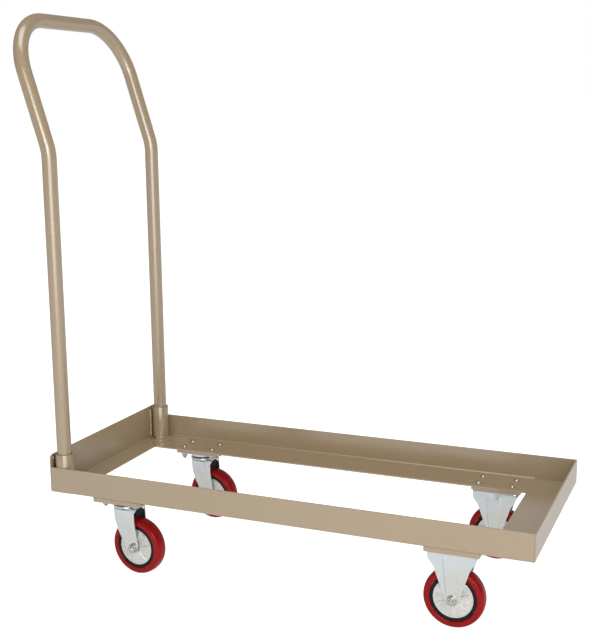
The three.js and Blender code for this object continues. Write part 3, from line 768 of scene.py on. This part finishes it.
def build_frame_welds():
    """Seams in the frame's four corners, along its flange joints, and spatter by the left socket."""
    shell = Shell()

    def upright(side, x, inset, top, size, seed):
        y = side * (INSIDE - inset)
        shell.join(bead([(x, y, FLANGE_TOP + 2), (x, y, top)], size, seed + side))

    def across(side, x, start, end, z, size, seed, grain=FINE_BEAD):
        shell.join(bead([(x, side * start, z), (x, side * end, z)], size, seed + side, grain))

    edge = HALF_WIDTH - SIDE_FLANGE
    joints = ((TALL_HIGH.x + GAP / 2, FLANGE_TOP + 0.1, HANDLE_FLANGE_BEAD, 30),
              (NOSE_LOW.x - GAP / 2, FLANGE_TOP - 0.4, NOSE_FLANGE_BEAD, 34))
    for side in SIDES:
        upright(side, NOSE_HIGH.x - SHEET - 0.6, 0.6, SIDE_HIGH.z - 2, NOSE_CORNER_BEAD, 20)
        upright(side, TALL_LOW.x + SHEET + 0.5, 0.5, SIDE_HIGH.z - 1, HANDLE_CORNER_BEAD, 24)
        for x, _, _, seed in joints:
            across(side, x, INSIDE - 4, edge + 1, UNDERSIDE + 0.35, UNDER_FLANGE_BEAD, seed, COARSE_BEAD)
        for x, top, size, seed in joints:
            across(side, x, INSIDE - 2, edge + 2, top, size, seed + 40)
    rng = random.Random(SPATTER_SEED)
    _, low, _, axis, radius, _ = list(socket_places())[1]  # the left one
    for _ in range(SPATTER_TRIES):
        x = rng.uniform(low.x + 6, TALL_HIGH.x + 30)
        y = rng.uniform(low.y - 34, HALF_WIDTH - 7)
        under_socket = math.hypot(x - axis.x, y - axis.y) < radius + 1.5
        off_flange = x > TALL_HIGH.x - 1 and y < edge + 2
        if not under_socket and not off_flange:
            shell.join(ball((x, y, FLANGE_TOP), rng.uniform(*SPATTER_RADIUS), 10, 0.7))
    painted("corner_welds", shell.mesh("corner_welds"))


def build_pad_welds():
    """Two stitches at each end of a pad and a seam along its outer edge."""
    shell = Shell()
    for i, corner in enumerate(CORNERS):
        low, high = box_mm(f"caster_pad_{corner}")
        side = 1 if low.y > 0 else -1
        near, far = sorted((abs(low.y), abs(high.y)))
        z = high.z - 0.9
        for x, first, second in ((low.x - 0.5, 40 + i, 49 + i), (high.x + 0.5, 40 + i, 51 + i)):
            for start, seed in ((14, first), (52, second)):
                shell.join(bead([(x, side * (near + start), z), (x, side * (near + (start + STITCH)), z)],
                                PAD_END_BEAD, seed))
        y, z = side * (far - 0.5), high.z + 0.45
        shell.join(bead([(low.x + 3, y, z), (high.x - 3, y, z)], PAD_SEAM_BEAD, 60 + i, COARSE_BEAD))
    painted("pad_welds", shell.mesh("pad_welds"))


# ---- fasteners ----

def hex_nut(flats, low, high, turn):
    """A hexagon with its corners turned off at both faces."""
    sixth = math.pi / 3
    rim = flats / 2 * NUT_RIM
    rings = []
    for z, limit in ((low, rim), (low + NUT_CHAMFER, flats), (high - NUT_CHAMFER, flats), (high, rim)):
        ring = []
        for a in turn_angles(NUT_SEGMENTS):
            local = (a + sixth / 2) % sixth - sixth / 2
            reach = min(limit, flats / 2 / math.cos(local))
            ring.append(Vector((reach * math.cos(a + turn), reach * math.sin(a + turn), z)))
        rings.append(ring)
    return loft(rings)


def threaded(radius, low, high, pitch):
    """A rod from low to high with thread ridges and a chamfered end at low."""
    profile = [(radius - 0.8, low), (radius - 0.25, low + 0.7)]
    z = low + 0.7
    while z + pitch < high:
        profile += [(radius - 0.45, z + pitch * 0.1), (radius, z + pitch * 0.55)]
        z += pitch
    return spindle(profile + [(radius - 0.3, high)], 24)


def caster_bolt_shell(low, high, head_base, top):
    """Round-headed bolt from low to high, and from top down a washer, a lock washer and a nut."""
    shell = lathe([
        (0.0, high), (2.4, high - 0.25), (4.4, high - 0.95), (5.9, high - 2.0), (6.7, high - 3.0),
        (6.8, head_base + 0.2), (6.6, head_base), (0.0, head_base)], 40, loop=False)
    shell.join(hex_nut(BOLT_FLATS, top - 9.4, top - 3.0, math.pi / 6))
    shell.join(spindle([(6.6, top - 0.9), (7.3, top - 0.7), (7.3, top - 0.1), (7.0, top)], 40))
    shell.join(spindle([(6.2, top - 3.1), (6.3, top - 2.9), (6.3, top - 1.0), (6.2, top - 0.8)], 40))
    shell.join(threaded(3.9, low, top - 9.2, 1.0))
    shell.join(spindle([(3.8, top - 0.5), (3.8, head_base + 0.5)], 24))
    return shell


def build_caster_bolts():
    for corner in CORNERS:
        base = pad_base(corner)
        for i in range(1, 5):
            node = f"caster_bolt_{corner}_{i}"
            low, high, middle = span_mm(node)
            head_base = FLANGE_TOP + 0.1 - base
            shell = caster_bolt_shell(low.z - base, high.z - base, head_base, PLATE_BOTTOM - GAP)
            finish_piece("set", shell.mesh(node), [FASTENER], "frame", node,
                         moved((middle.x, middle.y, base)))


# ---- swivel casters ----

def plate_shell():
    outline = rounded_rectangle(PLATE_LENGTH / 2, PLATE_WIDTH / 2, PLATE_CORNER, 8)
    return prism(outline, PLATE_BOTTOM, PLATE_TOP)


def race_shell():
    """The pressed upper race under the swivel plate."""
    return lathe([
        (PIN_HOLE, PLATE_BOTTOM + 0.2), (30.2, PLATE_BOTTOM + 0.2), (29.4, PLATE_BOTTOM - 0.7),
        (28.2, PLATE_BOTTOM - 1.6), (27.9, PLATE_BOTTOM - 2.8), (27.9, RACE_BOTTOM + 1.9),
        (27.4, RACE_BOTTOM + 0.8), (26.3, RACE_BOTTOM + 0.1), (25.2, RACE_BOTTOM), (PIN_HOLE, RACE_BOTTOM)],
        CROWN_SEGMENTS)


def ball_ring_shell():
    """The balls in their cage, and a dark ring in the gap under the crown's rolled rim, as painted shade."""
    shell = lathe(ring_profile(21.2, 23.4, CROWN_TOP + GAP + 0.2, RACE_BOTTOM - GAP - 0.2), 64)
    # a dark ring of bearing steel set in the gap under the crown's rim: painted shade
    shell.join(lathe(ring_profile(24.0, 26.5, CROWN_TOP - 5.2, CROWN_TOP - 7.8), 64))
    middle = (CROWN_TOP + RACE_BOTTOM) / 2
    for a in turn_angles(BALL_COUNT):
        shell.join(ball((BALL_CIRCLE * math.cos(a), BALL_CIRCLE * math.sin(a), middle), BALL_RADIUS))
    return shell


def crown_shell():
    """The turning head: a rolled rim round a flat disc."""
    rim = [(25.4, 0.0), (26.9, 0.2), (28.0, 1.0), (28.5, 2.3), (28.5, 3.7), (28.1, 4.9), (27.3, 5.7),
           (26.2, 6.0), (25.6, 5.0)]
    profile = [(radius, CROWN_TOP - drop) for radius, drop in rim]
    profile = [(PIN_HOLE, CROWN_TOP), *profile, (25.3, CROWN_BOTTOM), (PIN_HOLE, CROWN_BOTTOM)]
    return lathe(profile, CROWN_SEGMENTS)


LEADING_EDGE = ((-121.0, 27.0), (-116.5, 22.0), (-111.5, 16.5), (-106.0, 11.8), (-101.0, 9.0),
                (-86.0, 0.2), (-70.0, -8.8), (-52.0, -15.3), (-32.0, -19.4), (-17.0, -20.2))
TRAILING_EDGE = ((-116.5, 33.5), (-115.0, 38.5), (-111.5, 42.2), (-107.5, 44.3), (-102.0, 44.3),
                 (-80.0, 40.6), (-50.0, 36.6), (-17.0, 34.0))
CROWN_FOLLOW = 27.4  # radius that the leg follows under the crown
CREASE_START, CREASE_END = 1.0, 9.5
CREASE_RIDGE, CREASE_SPREAD = 0.7, 2.2


def swivel_leg_surface(x, z):
    """How far out the leg's outer face stands at a place on it."""
    upper = smoothstep(-62.0, LEG_TOP - 2.0, z)
    if x < CREASE_END:
        back = CREASE_END - x
        lower_face = LEG_OUTER - 0.5 * smoothstep(0.0, 5.0, back) - 0.06 * max(0.0, back - 4.0)
        circle = math.sqrt(max(1.0, CROWN_FOLLOW ** 2 - min(x, 0.0) ** 2))
        upper_face = circle - 0.6 * smoothstep(CREASE_START, CREASE_END, x)
    else:
        lower_face = LEG_OUTER
        upper_face = lerp(26.8, LEG_OUTER + 0.6, smoothstep(CREASE_END, 31.0, x))
    ridge = CREASE_RIDGE * math.exp(-((x - CREASE_END) / CREASE_SPREAD) ** 2)
    return lerp(lower_face, upper_face, upper) + ridge * smoothstep(-108.0, -90.0, z) * (1 - 0.5 * upper)


def swivel_leg_shell():
    heights = [lerp(LEG_TOP, -100.0, i / 30) for i in range(30)]
    heights += [lerp(-100.0, -116.5, i / 12) for i in range(13)]
    rows = []
    for z in heights:
        left, right = table_value(LEADING_EDGE, z), table_value(TRAILING_EDGE, z)
        places = [lerp(left, right, c / LEG_COLUMNS) for c in range(LEG_COLUMNS + 1)]
        rows.append([(x, -swivel_leg_surface(x, z), z) for x in places])
    return slab(rows)


def lip_shell():
    """The corner turned in under the crown at a leg's trailing edge."""
    outline = [(-23.0, CROWN_BOTTOM + 1), (-8.5, CROWN_BOTTOM + 1), (-9.5, CROWN_BOTTOM - 2.5),
               (-13.5, CROWN_BOTTOM - 6.5), (-18.0, CROWN_BOTTOM - 10.0), (-22.5, CROWN_BOTTOM - 12.0)]
    return prism(outline, 31.6, 34.2, axis="X")


def bridge_shell():
    """The flat web that carries the crown between the two legs."""
    outline = [(-14.0, -21.5), (8.0, -24.0), (34.2, -21.0), (34.2, 21.0), (8.0, 24.0), (-14.0, 21.5)]
    return prism(outline, CROWN_BOTTOM - 1.6, CROWN_BOTTOM + 1.0)


def kingpin_shell():
    """The swivel pin: its head in the plate's recess, washer, nut and thread end under the crown."""
    base = CROWN_BOTTOM - GAP
    shell = spindle([(8.4, PLATE_TOP - GAP), (9.2, PLATE_TOP - GAP - 0.5), (9.3, PLATE_BOTTOM - 1.7),
                     (6.0, PLATE_BOTTOM - 1.7), (6.0, base)], 40)
    shell.join(hex_nut(KINGPIN_FLATS, base - 6, base - 1.4, 0.0))
    shell.join(spindle([(10.2, base - 1.5), (10.2, base)], 40))
    shell.join(threaded(5.8, base - 7, base - 5.5, 1.25))
    return shell


def paint_leg_inner_shade(mesh):
    """Faces of the legs that look at the wheel take the second material, a painted shade."""
    for face in mesh.polygons:
        _, y, z = face.center / MM
        inward = -face.normal.y * math.copysign(1, y)
        if inward > PAINTED_SHADE_FACING and z < CROWN_BOTTOM - 1.0 and abs(y) > PAINTED_SHADE_LEAST_Y:
            face.material_index = 1


def build_swivel_casters():
    for corner in SWIVEL_CORNERS:
        pin = centre_mm(f"kingpin_{corner}")
        wheel = centre_mm(f"tyre_{corner}")
        angle = math.atan2(wheel.y - pin.y, wheel.x - pin.x)
        still = moved((pin.x, pin.y, pad_base(corner)))
        turning = still @ Matrix.Rotation(angle, 4, "Z")
        plate = rounded(plate_shell().mesh("plate"), 0.5)
        plate = joined_mesh("swivel_plate", [plate, race_shell().mesh("race")])
        finish_piece("stamping", plate, [ZINC], "frame",
                     f"swivel_plate_{corner}", still)
        finish_piece("rivet", kingpin_shell().mesh("kingpin"), [FASTENER], "frame",
                     f"kingpin_{corner}", still)
        body = f"swivel_{corner}"
        finish_piece("balls", ball_ring_shell().mesh("balls"), [BEARING], body,
                     f"ball_ring_{corner}", turning)
        legs = with_mirror(swivel_leg_shell()).join(with_mirror(lip_shell())).join(bridge_shell())
        fork = joined_mesh("swivel_fork", [rounded(legs.mesh("legs")), crown_shell().mesh("crown")])
        # the leg faces that look at the wheel get painted shade
        paint_leg_inner_shade(fork)
        finish_piece("stamping", fork, [ZINC, PAINTED_SHADE], body,
                     f"swivel_fork_{corner}", turning)
        build_wheel(corner, angle)


# ---- rigid casters ----

RIGID_EDGE = ((-118.0, 1.2), (-117.4, 5.0), (-116.0, 8.2), (-113.0, 11.2), (-108.0, 13.8), (-100.0, 16.0),
              (-38.0, 36.0), (-33.0, 38.6), (-27.0, 43.0), (-22.5, 46.4), (-18.0, 48.0), (0.0, 48.0))
PANEL_EDGE = ((-118.0, 0.6), (-106.0, 8.2), (-96.0, 11.8), (-12.0, 17.0), (0.0, 17.0))
PANEL_RISE = 3.2
PANEL_BORDER = 0.24  # share of the rise that only the panel's border has
BORDER_INSET, BORDER_SPREAD = 2.4, 1.5
STEP_START, STEP_END = 1.7, 1.9  # inside and outside the panel's edge
PANEL_STEP = (-6.4, -4.9, -4.1, -3.3, -2.4, -1.6, -0.9, -0.3, 0.3, 0.9, 1.6, 2.4, 3.6)  # across its step
RIGID_BEND = ((-0.3, 26.5), (-0.45, 29.0), (-1.2, 31.2), (-2.6, 32.7), (-4.6, 33.2))  # height, face
RIGID_LEG_TOP = 33.3


def rigid_rise(x, panel):
    """Share of the panel's full height at a distance from the leg's middle line."""
    border = PANEL_BORDER * math.exp(-((x - panel + BORDER_INSET) / BORDER_SPREAD) ** 2)
    return (1 - smoothstep(panel - STEP_START, panel + STEP_END, x)) * (1 - PANEL_BORDER + border)


def rigid_leg_shell():
    """A leg bent down from the plate, with a raised middle panel."""
    axle_drop = centre_mm("tyre_front_right").z - pad_base("front_right")
    bend_end = RIGID_BEND[-1][0]
    heights = list(RIGID_BEND)
    heights += [(lerp(-6.6, -100.0, i / 30), None) for i in range(31)]
    heights += [(lerp(-103.0, -118.0, i / 8), None) for i in range(9)]
    rows = []
    for z, face in heights:
        bent = face is not None
        flat = face if bent else lerp(LEG_OUTER, RIGID_LEG_TOP, (z - axle_drop) / (bend_end - axle_drop))
        edge, panel = table_value(RIGID_EDGE, z), table_value(PANEL_EDGE, z)
        fade = smoothstep(-116.0, -100.0, z)
        places = [(panel + PANEL_STEP[0]) * i / 4 for i in range(4)]
        places += [panel + offset for offset in PANEL_STEP]
        places += [lerp(panel + PANEL_STEP[-1], edge, i / 5) for i in range(1, 6)]
        half = [(x, rigid_rise(x, panel)) for x in places]
        row = []
        for x, rise in [(-x, rise) for x, rise in reversed(half[1:])] + half:
            arch = 0.0 if bent else smoothstep(-4.0, -21.0, z + 6.0 * (x / 28.0) ** 2)
            row.append((x, -(flat + PANEL_RISE * rise * fade * arch), z))
        rows.append(row)
    return slab(rows)


def build_rigid_casters():
    for corner in RIGID_CORNERS:
        wheel = centre_mm(f"tyre_{corner}")
        outline = rounded_rectangle(PLATE_LENGTH / 2, PLATE_WIDTH / 2 - 3, 3.0, 4)
        plate = prism(outline, PLATE_BOTTOM, PLATE_TOP)
        legs = with_mirror(rigid_leg_shell())
        fork = joined_mesh("rigid_fork", [rounded(legs.mesh("legs"), angle=50),
                                          rounded(plate.mesh("plate"), 0.4)])
        finish_piece("stamping", fork, [ZINC], "frame", f"rigid_fork_{corner}",
                     moved((wheel.x, wheel.y, pad_base(corner))))
        build_wheel(corner, 0.0)


# ---- wheels ----

RIM_RADIUS = 47.8
RIM_HALF_WIDTH = 14.8
TREAD_HALF_WIDTH = 15.8
WHEEL_RADIUS = 62.5
SHOULDER = 6.4
SHOULDER_CENTRE = 54.9
COVER_RADIUS = 40.6
COVER_FACE, COVER_BACK = (16.2, 13.7), (15.0, 12.5)  # heights at the hub and at the edge
HUB_RADIUS = 11.0
HUB_HALF_WIDTH = 18.0
AXLE_RADIUS, AXLE_REACH = 5.0, 24.0
WEB = 3.0
WHEEL_SEGMENTS = 120
RIB_COUNT = 12
RIB_SEGMENTS = 24
RIB_HEIGHT, SCORE_DEPTH, DISH_DEPTH, COVER_RIM, COVER_HUB = 0.95, 0.55, 0.35, 0.45, 0.4
SPIN_AT_REST = {"rear_right": 17, "rear_left": 4, "front_right": 9, "front_left": 23}


def wheel_lathe(half, middle=()):
    """A body turned about Y that is the same on both sides of Y = 0."""
    return lathe([*half, *middle, *((r, -y) for r, y in reversed(half))], WHEEL_SEGMENTS, axis="Y")


def tyre_shell():
    """Cast tread: bead, slightly hollow side wall, wide round shoulder, crowned tread."""
    half = [(RIM_RADIUS + 0.3, 13.2), (RIM_RADIUS + 0.3, 14.4), (RIM_RADIUS + 0.9, 15.0),
            (RIM_RADIUS + 1.8, 15.2), (51.4, 15.3), (53.0, 15.6)]
    centre_y = TREAD_HALF_WIDTH - SHOULDER
    for degrees in range(84, 13, -7):
        a = math.radians(degrees)
        half.append((SHOULDER_CENTRE + SHOULDER * math.cos(a), centre_y + SHOULDER * math.sin(a)))
    half += [(61.75, 8.4), (62.15, 5.6), (62.4, 2.8)]
    return wheel_lathe(half, [(WHEEL_RADIUS, 0.0)])


def core_shell():
    """Black centre: hub barrel, web and the ring that carries the tyre."""
    hub, cover, rim = HUB_RADIUS, COVER_RADIUS, RIM_HALF_WIDTH
    return wheel_lathe([
        (5.6, HUB_HALF_WIDTH), (hub - 0.6, HUB_HALF_WIDTH), (hub, HUB_HALF_WIDTH - 0.6),
        (hub, WEB + 1), (hub + 1, WEB), (cover - 0.7, WEB), (cover + 0.3, WEB + 1),
        (cover + 0.3, rim - 1.0), (cover + 0.7, rim - 0.3), (cover + 1.4, rim), (44.0, rim + 0.12),
        (RIM_RADIUS - 0.9, rim), (RIM_RADIUS, rim - 0.8)])


def cone(ends, radius):
    """Height at a radius, straight between the heights at the hub and at the cover's edge."""
    return lerp(*ends, (radius - HUB_RADIUS) / (COVER_RADIUS - HUB_RADIUS))


def cover_height(radius, angle):
    """Outer face of a cover: a shallow cone with raised ribs, scored lines and a rolled rim."""
    step = 2 * math.pi / RIB_COUNT
    away = abs((angle + step / 2) % step - step / 2) * radius
    between = abs(angle % step - step / 2) * radius
    band = smoothstep(13.5, 15.5, radius) * (1 - smoothstep(36.5, 38.2, radius))
    rib = RIB_HEIGHT * (1 - smoothstep(0.7, 1.7, away)) * band
    line = -SCORE_DEPTH * (1 - smoothstep(0.25, 0.9, between)) * band * smoothstep(18.0, 22.0, radius)
    dish = -DISH_DEPTH * math.sin(math.pi * min(1.0, between / (step * radius / 2))) * band
    rim = COVER_RIM * smoothstep(37.6, 38.6, radius) * (1 - smoothstep(39.6, 40.6, radius))
    hub = COVER_HUB * (1 - smoothstep(12.6, 13.8, radius))
    return cone(COVER_FACE, radius) + rib + line + dish + rim + hub


def cover_shell():
    radii = [HUB_RADIUS + 0.3, 12.2, 12.9, 13.6, 14.6, 15.6, 18.0, 20.0, 22.0, 25.0, 28.0, 31.0, 34.0, 36.4,
             37.3, 38.0, 38.6, 39.3, 40.0, COVER_RADIUS]
    face = [(radius, cover_height) for radius in radii]
    back = [(radius, lambda r, _: cone(COVER_BACK, r)) for radius in radii[::3] + radii[-1:]]
    rings = []
    for radius, height in face + back[::-1]:
        rings.append([Vector((radius * math.cos(a), height(radius, a), radius * math.sin(a)))
                      for a in turn_angles(RIB_COUNT * RIB_SEGMENTS)])
    return loft(rings, loop=True)


def axle_shell():
    """Axle bolt: washers, nut with thread end on -Y, hexagon head on +Y."""
    face = LEG_OUTER + 0.15
    shell = Shell()
    washer = spindle([(10.6, -face - 1.2), (11.0, -face - 0.9), (11.0, -face - 0.2), (10.7, -face)], 48)
    nut = hex_nut(AXLE_FLATS, -face - 9.0, -face - 1.1, 0.3)
    end = threaded(AXLE_RADIUS - 0.1, -face - 12.0, -face - 8.6, 1.1)
    head = hex_nut(AXLE_FLATS, -face - 7.4, -face - 1.1, 0.1)
    shank = spindle([(AXLE_RADIUS, -AXLE_REACH), (AXLE_RADIUS, AXLE_REACH)], 32)
    for part, sign in ((shank, 1), (washer, -1), (nut, -1), (end, -1), (washer, 1), (head, 1)):
        shell.join(part, Matrix.Rotation(math.radians(90 * sign), 4, "X"))  # low end outward on that side
    return shell


def build_wheel(corner, angle):
    place = moved(centre_mm(f"tyre_{corner}")) @ Matrix.Rotation(angle, 4, "Z")
    spun = place @ Matrix.Rotation(math.radians(SPIN_AT_REST[corner]), 4, "Y")
    body = f"wheel_{corner}"
    finish_piece("tread", tyre_shell().mesh("tyre"), [RED], body,
                 f"tyre_{corner}", place)
    finish_piece("centre", core_shell().mesh("core"), [BLACK], body,
                 f"wheel_core_{corner}", place)
    for side, turn in (("left", 0), ("right", math.pi)):
        finish_piece("disc", cover_shell().mesh("cover"), [COVER], body,
                     f"hub_cover_{side}_{corner}", spun @ Matrix.Rotation(turn, 4, "Z"))
    holder = f"swivel_{corner}" if corner in SWIVEL_CORNERS else "frame"
    finish_piece("set", axle_shell().mesh("axle"), [FASTENER], holder,
                 f"axle_bolt_{corner}", place)


# ---- studio ----

def bright_to_camera(tree, others, camera, strength):
    """Feeds a strength socket: one value where the camera looks, a lower one for light on the object."""
    path = new_node(tree, "LightPath")
    level = new_node(tree, "MapRange", To_Min=others, To_Max=camera)
    tree.links.new(path.outputs["Is Camera Ray"], level.inputs["Value"])
    tree.links.new(level.outputs["Result"], strength)


def build_floor():
    """A wide pale disc."""
    mesh = bpy.data.meshes.new("floor")
    work = bmesh.new()
    bmesh.ops.create_circle(work, cap_ends=True, radius=FLOOR_RADIUS, segments=FLOOR_SEGMENTS)
    work.to_mesh(mesh)
    work.free()
    material = bpy.data.materials.new("floor")
    material.use_nodes = True
    shader = material.node_tree.nodes["Principled BSDF"]
    set_sockets(shader, FLOOR_SOCKETS)
    bright_to_camera(material.node_tree, *FLOOR_GLOW, shader.inputs["Emission Strength"])
    mesh.materials.append(material)
    floor = placed("floor", mesh)


def softbox(name, centre, target, width, height, power):
    light = bpy.data.lights.new(name, "AREA")
    light.shape = "RECTANGLE"
    light.size = width
    light.size_y = height
    light.energy = power
    lamp = placed(name, light)
    lamp.location = centre
    lamp.rotation_euler = (Vector(target) - Vector(centre)).to_track_quat("-Z", "Y").to_euler()
    lamp.visible_camera = False


def build_studio():
    world = bpy.data.worlds.new("studio")
    bpy.context.scene.world = world
    world.use_nodes = True
    background = world.node_tree.nodes["Background"]
    background.inputs["Color"].default_value = WHITE
    bright_to_camera(world.node_tree, *WORLD_GLOW, background.inputs["Strength"])
    for lamp in LAMPS:
        softbox(*lamp)
    view = bpy.context.scene.view_settings
    view.view_transform = "Standard"
    view.look = "None"


def build_camera():
    data = bpy.data.cameras.new("camera")
    data.sensor_width = CAMERA_SENSOR
    data.lens = CAMERA_LENS
    data.clip_start, data.clip_end = CAMERA_CLIP
    camera = placed("camera", data)
    yaw, pitch, roll = (math.radians(a) for a in CAMERA_TURNS)
    turn = Matrix.Rotation(yaw, 4, "Z") @ Matrix.Rotation(math.pi / 2 - pitch, 4, "X")
    camera.matrix_world = Matrix.Translation(CAMERA_PLACE) @ turn @ Matrix.Rotation(roll, 4, "Z")
    bpy.context.scene.camera = camera


build_rails()
build_pads()
build_sockets()
build_handle()
build_socket_welds()
build_socket_shade_block()
build_frame_welds()
build_pad_welds()
build_caster_bolts()
build_swivel_casters()
build_rigid_casters()
build_floor()
build_studio()
build_camera()
